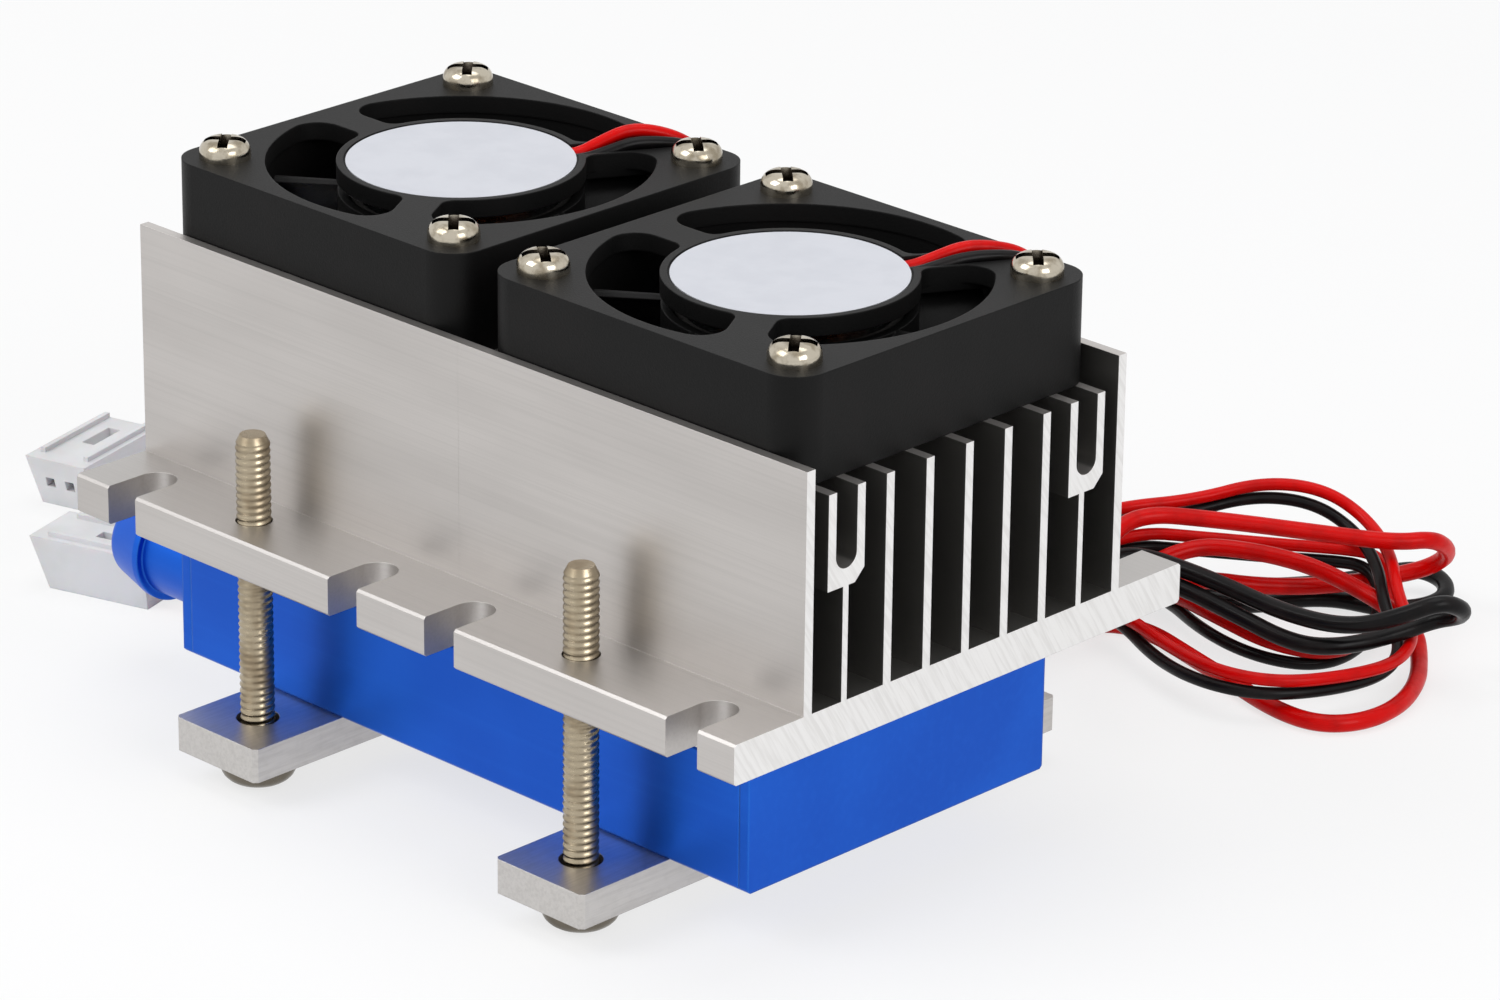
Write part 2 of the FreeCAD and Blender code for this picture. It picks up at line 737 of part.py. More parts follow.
def stadium(half_long, half_wide, tall):
    r = half_wide
    x = half_long - r
    body = box(-x, -r, 0, x, r, tall)
    return body.multiFuse([rod(r, -x, 0, 0, tall), rod(r, x, 0, 0, tall)]).removeSplitter()


def lead_hank():
    # a long loop of many turns, which slopes down to its lowest strands on the near side
    loop = stadium(hank_half_long, hank_half_wide, hank_tall)
    eye = stadium(hank_eye_half_long, hank_eye_half_wide, hank_tall + 2 * past)
    eye.translate(V(0, 0, -past))
    near, far = -hank_half_long - past, hank_slope_wide - hank_half_wide
    fall = (hank_tall - hank_near_tall) / hank_slope_wide
    below = hank_tall - fall * (far - near)
    above = face_of([V(near, near, below), V(near, far, hank_tall),
                     V(near, far, hank_tall + past), V(near, near, hank_tall + past)])
    above = above.extrude(V(-2 * near, 0, 0))
    return placed(loop.cut(eye).cut(above), V(*hank_spot, 0), hank_heading)


# Where the two plugs lie: X and Y of the wire end, and the heading of the mating end
plug_spots = ((-88.1, 17.75, -75.0), (-58.6, -2.95, 196.9))

# Routes of the leads, chosen by hand. The module leads run from the rim of the module to
# the hank, and the fan leads from the motor, over the web and the heat sink's far wall.
module_1_red = [(-1.5, 19.7, 21.2), (-1.5, 26.5, 21.2), (0.1, 33.6, 18.2), (5.1, 39.1, 12.8),
                (11, 44.8, 8.2)]
module_1_black = [(-31.5, 19.7, 21.2), (-31.5, 27, 21.2), (-29.1, 34.8, 17.8),
                  (-19.5, 41.7, 11.6), (-6.8, 46.2, 6.9), (2.8, 49.2, 5.2), (10, 53.5, 4.4)]
module_2_red = [(38.5, 19.7, 21.2), (38.5, 27, 21.2), (36.8, 35.5, 19), (32.3, 42.3, 15),
                (26.5, 47.5, 11.6), (20.6, 51.1, 10.2)]
module_2_black = [(8.5, 19.7, 21.2), (8.5, 26, 21.2), (9.9, 33.2, 18.4), (13.2, 39, 13.6),
                  (17.3, 44.5, 10.2)]
fan_1_red = [(-12.53, 8.56, 57.1), (-10.73, 11.68, 57.1), (-8.73, 15.14, 58.35),
             (-6.04, 19.8, 58.5), (-4.8, 23.2, 55.4), (-4.3, 26.5, 48.8), (-3.6, 30.4, 39.2),
             (-2.3, 35.2, 30), (0, 39.7, 20.8), (4.3, 43.8, 13.7), (9.4, 49.4, 9.4)]
fan_2_red = [(31.47, 8.56, 57.1), (33.27, 11.68, 57.1), (35.27, 15.14, 58.35),
             (37.96, 19.8, 58.5), (39.3, 23.2, 55.4), (39.1, 26.3, 48.8), (37.4, 29.7, 38.6),
             (34.4, 34.4, 29.4), (29.7, 39.3, 20.2), (24.2, 43.2, 14), (18, 46.6, 9.6)]
fan_twin_step = (1.455, -0.84, 0)
fan_2_tail_step = (0.9, -0.5, -1.7)

# Middle line of each fan's pair of plug leads: from the hank, over the floor, to the plug
fan_1_plug_pair = [(9, 65, 1.6), (-3, 62, 0.9), (-15, 55.5, 0.7), (-29, 49.8, 0.7),
                   (-45, 47.4, 0.7), (-60.5, 44, 0.7), (-74, 38.6, 0.7), (-83.2, 32.2, 1.2),
                   (-88.1, 26, 2.4), (-88.75, 20.17, 2.9), (-87.52, 15.58, 2.9)]
fan_2_plug_pair = [(8, 59, 1.9), (-3, 54.5, 1), (-14, 49.5, 0.7), (-26, 42, 0.7),
                   (-37, 33, 0.7), (-43.6, 21, 0.7), (-46, 10, 0.7), (-47.8, 4.2, 1.1),
                   (-51.5, 0, 2.3), (-56.21, -2.22, 2.9), (-60.75, -3.6, 2.9)]


def stepped(route, step):
    return [tuple(a + b for a, b in zip(point, step)) for point in route]


def alongside(route, by):
    # the same route, moved that far to its left in plan
    moved = []
    for i, (x, y, z) in enumerate(route):
        back, ahead = route[max(i - 1, 0)], route[min(i + 1, len(route) - 1)]
        heading = math.atan2(ahead[1] - back[1], ahead[0] - back[0])
        moved.append((x - by * math.sin(heading), y + by * math.cos(heading), z))
    return moved


def leads():
    half = plug_pitch / 2
    save("module_1_red_lead", lead_tube("module_1_red", module_1_red, module_lead_r))
    save("module_1_black_lead", lead_tube("module_1_black", module_1_black, module_lead_r))
    save("module_2_red_lead", lead_tube("module_2_red", module_2_red, module_lead_r))
    save("module_2_black_lead", lead_tube("module_2_black", module_2_black, module_lead_r))
    for fan, route, tail_step, pair in (("fan_1", fan_1_red, fan_twin_step, fan_1_plug_pair),
                                        ("fan_2", fan_2_red, fan_2_tail_step, fan_2_plug_pair)):
        beside = stepped(route[:-2], fan_twin_step) + stepped(route[-2:], tail_step)
        routes = {"red": route, "black": beside,
                  "plug_red": alongside(pair, half), "plug_black": alongside(pair, -half)}
        for colour, points in routes.items():
            name = fan + "_" + colour
            save(name + "_lead", lead_tube(name, points, fan_lead_r))


def stack(i):
    # one heat sink with the fan on it, the module and the clamp under it
    n = "_%d" % (i + 1)
    cx = fan_centres[i]
    save("heat_sink" + n, heat_sink(sink_starts[i], clamp_xs[i]))
    save("fan_frame" + n, fan_frame(cx))
    save("impeller" + n, impeller(cx))
    save("rotor_magnet" + n, rotor_magnet(cx))
    save("rotor_shaft" + n, rotor_shaft(cx))
    save("bearing_sleeve" + n, bearing_sleeve(cx))
    save("stator_core" + n, stator_core(cx))
    save("stator_coils" + n, stator_coils(cx))
    save("fan_board" + n, fan_board(cx))
    save("fan_label" + n, fan_label(cx))
    save("fan_screws" + n, fan_screws(cx))
    middle = module_centres[i]
    save("module_cold_plate" + n, module_plate(middle, module_z))
    save("module_hot_plate" + n, module_plate(middle, sink_z - ceramic_thick))
    save("pellet_bed" + n, pellet_bed(middle))
    save("module_seal" + n, module_seal(middle))
    save("clamp_bar" + n, clamp_bar(clamp_xs[i]))
    save("clamp_screws" + n, clamp_screws(clamp_xs[i]))
    x, y, heading = plug_spots[i]
    save("fan_plug" + n, placed(plug_body(), V(x, y, 0), heading))
    save("plug_contacts" + n, placed(plug_contacts(), V(x, y, 0), heading))


for i in range(2):
    stack(i)
water_block()
save("lead_hank", lead_hank())
leads()
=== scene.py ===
# %% [markdown]
# # A twin thermoelectric cooler, dressed for its portrait
#
# Two small fans blow through two aluminium heat sinks. Under each sink lies a
# thermoelectric module, a sandwich of ceramic and semiconductor that pumps heat when current
# flows, and under both lies one blue water block with two hose barbs. Flat bars and long
# screws clamp the stack together.
#
# The solid shapes come from a packed CAD model. This lesson loads them, gives each surface
# its real finish, and builds in Blender what CAD leaves plain: flexible leads, screw threads,
# cross recesses and tinned wire ends. Sizes are typed in millimetres, and `mm` turns them
# into Blender's metres.

# %% Load the packed model
import math

import bmesh
import bpy
from mathutils import Matrix, Vector


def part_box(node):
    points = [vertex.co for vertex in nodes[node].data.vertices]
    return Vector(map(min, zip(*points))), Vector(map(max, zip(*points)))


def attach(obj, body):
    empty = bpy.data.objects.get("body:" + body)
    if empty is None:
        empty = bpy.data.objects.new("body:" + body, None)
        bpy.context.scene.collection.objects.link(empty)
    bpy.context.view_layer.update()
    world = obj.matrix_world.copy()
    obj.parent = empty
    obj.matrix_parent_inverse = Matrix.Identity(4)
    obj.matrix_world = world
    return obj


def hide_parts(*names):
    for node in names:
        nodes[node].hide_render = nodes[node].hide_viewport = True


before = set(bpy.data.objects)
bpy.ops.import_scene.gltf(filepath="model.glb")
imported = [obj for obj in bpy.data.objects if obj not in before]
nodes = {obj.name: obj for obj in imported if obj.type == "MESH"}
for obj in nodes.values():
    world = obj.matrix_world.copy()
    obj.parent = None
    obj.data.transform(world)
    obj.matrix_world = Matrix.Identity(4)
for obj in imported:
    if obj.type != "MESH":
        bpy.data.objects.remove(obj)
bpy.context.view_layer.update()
mm = 0.001


# %% [markdown]
# ## The camera
#
# The camera comes first, because everything after it is judged through it. The cooler was
# photographed from above one corner with a long lens, so parallel edges stay nearly
# parallel. A camera can be aimed with a Track To constraint, but a constraint can't hold the
# small roll of a camera in the hand. So two compass angles and the roll are turned into the
# camera's own right, up and backward directions, which are the columns of its matrix.

# %% Aim a long lens at the corner
def aimed_camera(spot, heading, pitch, roll, lens):
    head, tip, lean = (math.radians(a) for a in (heading, pitch, roll))
    flat = Vector((-math.sin(head), math.cos(head), 0))
    forward = flat * math.cos(tip) - Vector((0, 0, math.sin(tip)))
    right = Vector((math.cos(head), math.sin(head), 0))
    up = right.cross(forward)
    right, up = (right * math.cos(lean) + up * math.sin(lean),
                 up * math.cos(lean) - right * math.sin(lean))
    data = bpy.data.cameras.new("camera")
    data.lens, data.sensor_width = lens, 36
    data.clip_start, data.clip_end = 0.01, 20
    camera = bpy.data.objects.new("camera", data)
    turned = Matrix((right, up, -forward)).transposed().to_4x4()
    camera.matrix_world = Matrix.Translation(spot) @ turned
    bpy.context.collection.objects.link(camera)
    return camera


scene = bpy.context.scene
scene.camera = aimed_camera(spot=(0.4154, -0.40641, 0.26361), heading=44.11, pitch=22.14,
                            roll=0.68, lens=156.3)
print("camera is", round(scene.camera.location.length, 3), "m from the origin")

# %% [markdown]
# ## Shader maths in plain Python
#
# Blender's materials are graphs: boxes with sockets, joined by links. A graph of any depth is
# hard to read as a list of links, so a small class wraps one output socket and gives it the
# arithmetic operators. `1 - mask * 0.5` then adds the right Math nodes by itself. Python asks
# for the reflected forms, such as `__rsub__`, when the plain number stands on the left.

# %% A socket with arithmetic
class Flow:
    def __init__(self, graph, socket):
        self.graph, self.socket = graph, socket

    def maths(self, operation, *terms):
        return self.graph.add("Math", {"operation": operation}, dict(enumerate(terms)))

    def __add__(self, other):
        return self.maths("ADD", self, other)

    def __sub__(self, other):
        return self.maths("SUBTRACT", self, other)

    def __rsub__(self, other):
        return self.maths("SUBTRACT", other, self)

    def __mul__(self, other):
        return self.maths("MULTIPLY", self, other)

    def __lt__(self, other):
        return self.maths("LESS_THAN", self, other)

    def __gt__(self, other):
        return self.maths("GREATER_THAN", self, other)

    def __abs__(self):
        return self.maths("ABSOLUTE", self)

    __radd__, __rmul__ = __add__, __mul__

    def fade(self, start, end):
        # 0 up to start, 1 beyond end, smooth between
        return self.graph.add("MapRange", {"interpolation_type": "SMOOTHSTEP"},
                              {"Value": self, "From Min": start, "From Max": end}, "Result")


sums = [name.strip("_") for name, do in vars(Flow).items() if callable(do)]
print("a socket knows:", sums[1:])

# %% [markdown]
# ## One way to add a node
#
# Every other node comes from one method, `add`. It first sets how the node works, because
# that decides which sockets it has, and then it fills the sockets with values or links. A
# `Graph` is a material's or the world's whole set of nodes. Colours are blended with a Mix
# node and places are stretched with Vector Math, because a Math node would turn a colour
# grey.

# %% A graph that nodes are added to
class Graph:
    def __init__(self, tree):
        self.tree = tree

    def feed(self, socket, value):
        if isinstance(value, Flow):
            self.tree.links.new(value.socket, socket)
        else:
            socket.default_value = value

    def add(self, kind, settings=None, sockets=None, out=0):
        node = self.tree.nodes.new("ShaderNode" + kind)
        for name, value in (settings or {}).items():
            setattr(node, name, value)
        for name, value in (sockets or {}).items():
            self.feed(node.inputs[name], value)
        return Flow(self, node.outputs[out])

    def end_with(self, output, shader):
        self.feed(self.tree.nodes[output].inputs["Surface"], shader)

    def seen_directly(self):
        # 1 for rays from the camera, from a reflection or through glass, 0 for light that spills
        camera, glossy, through = (self.add("LightPath", out="Is %s Ray" % kind)
                                   for kind in ("Camera", "Glossy", "Transmission"))
        return camera.maths("MAXIMUM", camera.maths("MAXIMUM", camera, glossy), through)


print("a graph can", [name for name in vars(Graph) if not name.startswith("_")])

# %% [markdown]
# ## A finish
#
# A `Finish` is the graph of one material round Blender's Principled shader, with the few
# questions that a finish asks: where on the object is this, which way does the surface face,
# how grainy is it here. Real surfaces are never one flat colour, so each finish mixes two
# close tones with noise and lets the roughness drift as well. `rgb` turns the colours of a
# paint chart into the linear light that shaders work in.

# %% A material with questions to ask
class Finish(Graph):
    def __init__(self, name, **constants):
        self.material = bpy.data.materials.new(name)
        self.material.use_nodes = True
        super().__init__(self.material.node_tree)
        self.shader = self.tree.nodes["Principled BSDF"]
        self.set(**constants)

    def set(self, **values):
        # specular_ior_level stands for the shader's Specular IOR Level
        for name, value in values.items():
            label = name.replace("_", " ").title().replace("Ior", "IOR")
            self.feed(self.shader.inputs[label], value)
        return self.material

    def place(self, stretch=(1, 1, 1), turn=(0, 0, 0)):
        # where on the object, in millimetres times the stretch
        spot = self.add("TexCoord", out="Object")
        spot = self.add("Mapping", {"vector_type": "POINT"}, {"Vector": spot, "Rotation": turn})
        return self.add("VectorMath", {"operation": "MULTIPLY"},
                        {0: spot, 1: [s / mm for s in stretch]})

    def axis(self, kind, letter):
        # one axis of the object's own place, in metres, or of its surface direction
        spot = self.add("TexCoord", out=kind)
        return self.add("SeparateXYZ", None, {"Vector": spot}, letter)

    def noise(self, where, scale=1.0, detail=2.0, roughness=0.5):
        return self.add("TexNoise", None, {"Vector": where, "Scale": scale, "Detail": detail,
                                           "Roughness": roughness})

    def mix(self, mask, a, b):
        # the Mix node keeps its colours in sockets 6 and 7 and answers in socket 2
        return self.add("Mix", {"data_type": "RGBA"}, {0: mask, 6: a, 7: b}, 2)

    def bump(self, height, depth, strength=1.0, under=None):
        sockets = {"Height": height, "Distance": depth, "Strength": strength}
        if under is not None:
            sockets["Normal"] = under
        return self.add("Bump", None, sockets)

    def soft_edges(self, radius):
        return self.add("Bevel", {"samples": 6}, {"Radius": radius})


def rgb(*screen):
    # three numbers of 0 to 255 as linear light
    shares = [v / 255 for v in screen]
    linear = [v / 12.92 if v <= 0.04045 else ((v + 0.055) / 1.055) ** 2.4 for v in shares]
    return (*linear, 1)


print("screen grey 128 is", round(rgb(128, 128, 128)[0], 3), "of full light")


# %% Dress CAD nodes in a finish
def dress(material, *names):
    for name in names:
        for slot in nodes[name].material_slots:
            slot.material = material
    print(material.name, "on", len(names), "nodes")


both = ("_1", "_2")


def pair(*parts):
    # the names of each part's two copies
    return [part + n for part in parts for n in both]


print("pairs are named like", pair("fan_frame"))

# %% [markdown]
# ## Lead insulation
#
# The leads are stranded copper in soft PVC. Extruded PVC is glossy with a faint waviness,
# and dust and handling dull it in patches. A full gloss would wash the red out under large
# lamps, so the base reflects little, and a thin clear coat gives the narrow highlight of the
# real thing without making the colour pale.

# %% Red and black PVC
def insulation(name, colour, dusty):
    pvc = Finish(name, specular_ior_level=0.1, coat_weight=0.06, coat_roughness=0.15)
    patches = pvc.noise(pvc.place(), 0.35, 3).fade(0.4, 0.75)
    waves = pvc.noise(pvc.place(), 0.9, 2)
    return pvc.set(base_color=pvc.mix(patches, colour, dusty), roughness=0.3 + patches * 0.2,
                   normal=pvc.bump(waves, 0.08 * mm, 0.4))


lead_red = insulation("lead_red", rgb(214, 6, 4), rgb(190, 8, 6))
lead_black = insulation("lead_black", rgb(14, 13, 14), rgb(24, 20, 20))
print("insulation:", lead_red.name, "and", lead_black.name)

# %% [markdown]
# ## Eight leads
#
# A lead is a fixed length of something limp. Each fan's twin leads leave the motor along one
# web of the frame, bow over the heat sink's far wall, fall behind it, wind once round a loose
# hank and run across the floor to a white plug. The four thicker module leads leave the
# silicone rim under the sinks and end in the hank with tinned tips.
#
# A NURBS curve suits this, because it runs smoothly past its control points as a stiff but
# flexible wire does, where a poly line would look like bent rod. The curve's order is set
# after the points are in, or Blender keeps the straight default. A twin lead could be an
# offset copy of its neighbour, but real twins drift apart and cross, so each has points of
# its own.
#
# Each point also has a radius, which multiplies the curve's bevel depth and which Blender
# counts into the curve's box. So the bevel depth is the lead's radius in millimetres, and
# each point's radius is one millimetre: together they give the true thickness and a box that
# hugs the lead.

# %% The routes, in millimetres
fan_1_red = [
    (-12.53, 7.26, 57.1), (-11.43, 9.17, 57.05), (-10.23, 11.24, 58.2),
    (-8.83, 13.67, 59.3), (-7.43, 16.09, 58.9), (-6.03, 18.52, 57.75), (-4.8, 20.7, 55.6),
    (-4.4, 22.3, 50), (-3.6, 29.1, 39.2), (-2.3, 33.9, 30), (0, 38.4, 20.8),
    (4.3, 42.5, 13.7), (9.4, 48.1, 9), (11.14, 54.49, 7.04), (12.09, 65.83, 8.52),
    (18.01, 71.59, 7.81), (23.95, 77.33, 7.14), (28.04, 81.27, 6.78), (30.48, 83.35, 6.35),
    (32.9, 82.91, 5.08), (35.12, 80.18, 2.99), (38.14, 73.65, 2.22), (37.65, 67.61, 1.9),
    (32.94, 63.76, 2.81), (25.71, 63.58, 3.75), (15.5, 67.65, 2.37), (8.41, 63.48, 1.68),
    (-2.48, 59.56, 0.9), (-14.47, 53.07, 0.7), (-28.67, 47.29, 0.7), (-44.77, 44.87, 0.7),
    (-60.14, 41.5, 0.7), (-73.42, 36.19, 0.7), (-82.37, 29.97, 1.2), (-86.96, 24.18, 2.4),
    (-87.5, 18.94, 2.9), (-86.31, 14.6, 2.9)]
fan_1_black = [
    (-11.08, 6.42, 57.1), (-9.97, 8.33, 57.05), (-8.67, 10.58, 57.7), (-7.37, 12.83, 58.5),
    (-5.97, 15.25, 58.3), (-4.57, 17.68, 57.75), (-3.35, 19.86, 55.4), (-2.95, 21.6, 49.8),
    (-2.15, 28.26, 39.2), (-0.84, 33.06, 30), (1.46, 37.56, 20.8), (5.76, 41.66, 13.7),
    (10.85, 47.26, 9), (11.87, 53.74, 5.61), (11.23, 65.07, 7.03), (17.18, 70.79, 6.41),
    (23.13, 76.53, 5.74), (27.24, 80.44, 5.45), (29.86, 82.34, 5.19), (32.32, 81.87, 3.92),
    (34.32, 79.36, 1.6), (37.31, 72.85, 0.81), (36.81, 66.81, 0.7), (32.11, 62.96, 1.41),
    (24.67, 63.14, 1.91), (13.96, 68.99, 1.06), (7.52, 65.98, 1.68), (-3.52, 61.84, 0.9),
    (-15.53, 55.33, 0.7), (-29.33, 49.71, 0.7), (-45.23, 47.33, 0.7), (-60.86, 43.9, 0.7),
    (-74.58, 38.41, 0.7), (-84.03, 31.83, 1.2), (-89.24, 25.22, 2.4), (-90, 18.8, 2.9),
    (-88.73, 13.96, 2.9)]
fan_2_red = [
    (31.47, 7.26, 57.1), (32.57, 9.17, 57.05), (33.77, 11.24, 57.8), (35.17, 13.67, 58.7),
    (36.57, 16.09, 58.5), (37.97, 18.52, 57.7), (39.2, 20.7, 55.6), (39.6, 22.3, 50),
    (37.4, 28.4, 38.6), (34.4, 33.1, 29.4), (29.7, 38, 20.2), (24.15, 41.94, 14.51),
    (18, 45.3, 11.2), (12.82, 50.59, 10.9), (10.48, 58.06, 11.2), (11.59, 64.7, 11.33),
    (15.84, 71.54, 11.43), (19.78, 77.44, 12.91), (24.55, 81.38, 12.51),
    (29.01, 82.9, 10.38), (34.55, 80.61, 8.58), (39.62, 75.66, 6.64), (43.69, 73.75, 4.12),
    (46.22, 67.8, 3.75), (45.4, 61.2, 4.1), (42.19, 54.21, 4.47), (36.25, 51.25, 4.8),
    (27.93, 53.25, 4.51), (19.09, 56.45, 4.48), (8.51, 56.44, 2.01), (-2.5, 52.05, 1),
    (-13.4, 47.1, 0.7), (-25.27, 39.68, 0.7), (-36.04, 30.9, 0.7), (-42.44, 19.24, 0.7),
    (-44.79, 8.4, 0.7), (-46.7, 2.3, 1.1), (-50.74, -2.29, 2.3), (-55.76, -4.68, 2.9),
    (-60.39, -6.1, 2.9)]
fan_2_black = [
    (32.92, 6.42, 57.1), (34.03, 8.33, 57.05), (35.13, 10.23, 57.6), (36.43, 12.48, 58.2),
    (37.88, 14.99, 58.2), (39.43, 17.68, 57.75), (40.65, 19.86, 55.4), (41.05, 21.6, 49.8),
    (38.85, 27.56, 38.6), (35.86, 32.26, 29.4), (31.16, 37.16, 20.2), (25.19, 41.34, 12.79),
    (18.9, 44.8, 9.5), (12, 49.79, 9.55), (9.65, 57.26, 9.85), (10.87, 64, 9.83),
    (15.09, 70.88, 9.87), (19.04, 76.78, 11.36), (23.83, 80.69, 11), (28.29, 82.21, 8.88),
    (33.7, 79.64, 7.35), (38.84, 74.58, 5.53), (42.87, 72.64, 3.09), (45.58, 66.94, 2.65),
    (44.68, 60.51, 2.7), (41.47, 53.52, 3.07), (35.53, 50.56, 3.4), (27.14, 52.76, 2.83),
    (17.72, 57.6, 3.13), (7.5, 58.94, 1.82), (-3.5, 54.35, 1), (-14.6, 49.3, 0.7),
    (-26.73, 41.72, 0.7), (-37.96, 32.5, 0.7), (-44.76, 20.16, 0.7), (-47.21, 9, 0.7),
    (-48.9, 3.5, 1.1), (-52.26, -0.31, 2.3), (-56.66, -2.36, 2.9), (-61.11, -3.7, 2.9)]
module_2_red = [
    (38.5, 18.4, 21.2), (38.5, 25.7, 21.2), (36.8, 34.2, 19), (32.3, 41, 15),
    (26.5, 46.2, 11.8), (20.8, 50.2, 10.6), (17.28, 54.9, 11), (16.61, 61.2, 13.25),
    (22.85, 67.23, 12.49), (30.21, 74.34, 11.19), (35.92, 79.51, 10.33),
    (38.34, 83.13, 10.46), (37.08, 87.34, 7.35), (34.48, 87.97, 4.91), (31.96, 85.91, 3.74),
    (27.78, 79.36, 3.12), (23.23, 73.68, 3.36), (18.98, 69.19, 4.32), (16.23, 64.67, 4.23)]
module_1_red = [
    (-1.5, 18.4, 21.2), (-1.5, 25.2, 21.2), (0.1, 32.3, 18.2), (5.1, 37.8, 12.8),
    (11, 43.5, 8.2), (14.97, 51.97, 5.8), (16.18, 60.79, 6), (18.29, 68.1, 8.12),
    (22.85, 72.23, 7.73), (27.64, 75.33, 6.82), (32.51, 76.7, 5.6), (37.72, 76.89, 4.46),
    (40.74, 77.4, 2.62), (42.77, 75.69, 1.31), (46.78, 70.56, 0.95), (49.32, 64.16, 0.95),
    (49.01, 58.61, 0.95), (46.05, 55.22, 0.95), (40.56, 55.15, 0.95), (33.6, 57.2, 0.95),
    (26.37, 59.14, 0.95), (19.6, 61, 0.95), (15.2, 59.9, 0.95), (12.4, 55.6, 0.95),
    (10.4, 51, 0.95)]
module_1_black = [
    (-31.5, 18.4, 21.2), (-31.5, 25.7, 21.2), (-29.1, 33.5, 17.8), (-19.5, 40.4, 11.6),
    (-6.8, 44.9, 6.9), (2.8, 47.9, 5.2), (10, 52.2, 4.4), (10.61, 60.64, 4.35),
    (14.76, 64.53, 5.2), (16.01, 72.47, 1.6), (20.4, 78.77, 0.95), (24.97, 84.57, 1.19),
    (28.73, 88.89, 2.3), (30.65, 90.98, 2.45), (33.7, 90.94, 2.14), (35.81, 88.76, 1.71),
    (35.74, 85.71, 1.4), (33.15, 82.74, 1.07), (25.47, 80.88, 0.95), (22.39, 73.2, 0.95),
    (17.24, 71.3, 0.95), (12.81, 69.78, 0.95)]
module_2_black = [
    (8.5, 18.4, 21.2), (8.5, 24.7, 21.2), (9.9, 31.9, 18.4), (13.2, 37.7, 13.6),
    (16.8, 42.9, 9), (16.09, 47.49, 7.3), (16.35, 54.42, 7.9), (15.65, 60.97, 8.95),
    (24.96, 63.01, 8.07), (35.89, 62.44, 7.51), (42.74, 64.19, 7.57), (46.59, 67.21, 9.05),
    (49.75, 69.6, 10.95), (50.45, 72.45, 9.6), (48.7, 74.5, 7.6), (45.8, 73.9, 6.5),
    (43.67, 71.06, 5.26), (41.52, 65.05, 4.84), (37.59, 62, 4.79), (29.98, 61.6, 5.95),
    (22.37, 61.9, 6.62), (18.86, 61.29, 6.84)]

print("points of fan 1's and fan 2's red leads:", len(fan_1_red), "and", len(fan_2_red))


# %% Wind one curve along each route
def lead(name, route, diameter, material, *cad_nodes):
    data = bpy.data.curves.new(name, "CURVE")
    data.dimensions, data.bevel_depth, data.bevel_resolution = "3D", diameter / 2, 5
    data.resolution_u, data.use_fill_caps = 10, True
    spline = data.splines.new("NURBS")
    spline.points.add(len(route) - 1)
    for point, spot in zip(spline.points, route):
        point.co, point.radius = (*(v * mm for v in spot), 1), mm
    spline.order_u, spline.use_endpoint_u = 3, True
    piece = bpy.data.objects.new(name, data)
    bpy.context.collection.objects.link(piece)
    data.materials.append(material)
    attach(piece, "cooler")
    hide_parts(*cad_nodes)
    "lead_" + name.split("_")[2]
    return piece


def length_of(piece):
    # the centre line's own length, read from a copy of the curve with no thickness
    bare = bpy.data.objects.new("bare", piece.data.copy())
    bare.data.bevel_depth = 0
    mesh = bpy.data.meshes.new_from_object(bare)
    spots = [v.co.copy() for v in mesh.vertices]
    bpy.data.curves.remove(bare.data)
    bpy.data.meshes.remove(mesh)
    return sum((b - a).length for a, b in zip(spots, spots[1:])), spots


# %% The fans' twin leads
fan_wire = 1.3
for n, red, black in ((1, fan_1_red, fan_1_black), (2, fan_2_red, fan_2_black)):
    for colour, route, material in (("red", red, lead_red), ("black", black, lead_black)):
        piece = lead("fan_%d_%s_cord" % (n, colour), route, fan_wire, material,
                     "fan_%d_%s_lead" % (n, colour), "fan_%d_plug_%s_lead" % (n, colour),
                     "lead_hank")
        long, line = length_of(piece)
        print(piece.name, round(long / mm), "mm")

# %% [markdown]
# ## Tinned tips
#
# The module leads end as they come from the maker: the insulation is stripped for a few
# millimetres, and the strands are twisted and dipped in solder. A tip could be a plain rod,
# but the strands show as a fine screw under the tin, so each tip is lofted along the lead's
# last direction with a five-lobed section that turns as it goes.

# %% Solder tin, and a way to make a mesh
tin = Finish("solder_tin", metallic=1.0, roughness=0.35)
dull = tin.noise(tin.place(), 2.0, 3).fade(0.35, 0.7)
tin.set(base_color=tin.mix(dull, rgb(214, 214, 210), rgb(160, 160, 158)),
        roughness=0.28 + dull * 0.25)


def mesh_piece(name, fill, material, smooth=True, angle=40):
    # an object from a function that fills an empty bmesh; edges past the angle stay crisp
    made = bmesh.new()
    fill(made)
    bmesh.ops.recalc_face_normals(made, faces=made.faces)
    for face in made.faces:
        face.smooth = smooth
    for edge in made.edges:
        edge.smooth = len(edge.link_faces) == 2 and edge.calc_face_angle(0) < math.radians(angle)
    data = bpy.data.meshes.new(name)
    made.to_mesh(data)
    made.free()
    data.materials.append(material)
    piece = bpy.data.objects.new(name, data)
    bpy.context.collection.objects.link(piece)
    return piece


def skin(made, rows):
    # faces between each row of points and the next, closed round the rows and at both ends
    rings = [[made.verts.new(spot) for spot in row] for row in rows]
    for low, high in zip(rings, rings[1:]):
        for i in range(len(low)):
            j = (i + 1) % len(low)
            made.faces.new((low[i], low[j], high[j], high[i]))
    made.faces.new(rings[0][::-1])
    made.faces.new(rings[-1])


print("tinned metal ready:", tin.material.name)


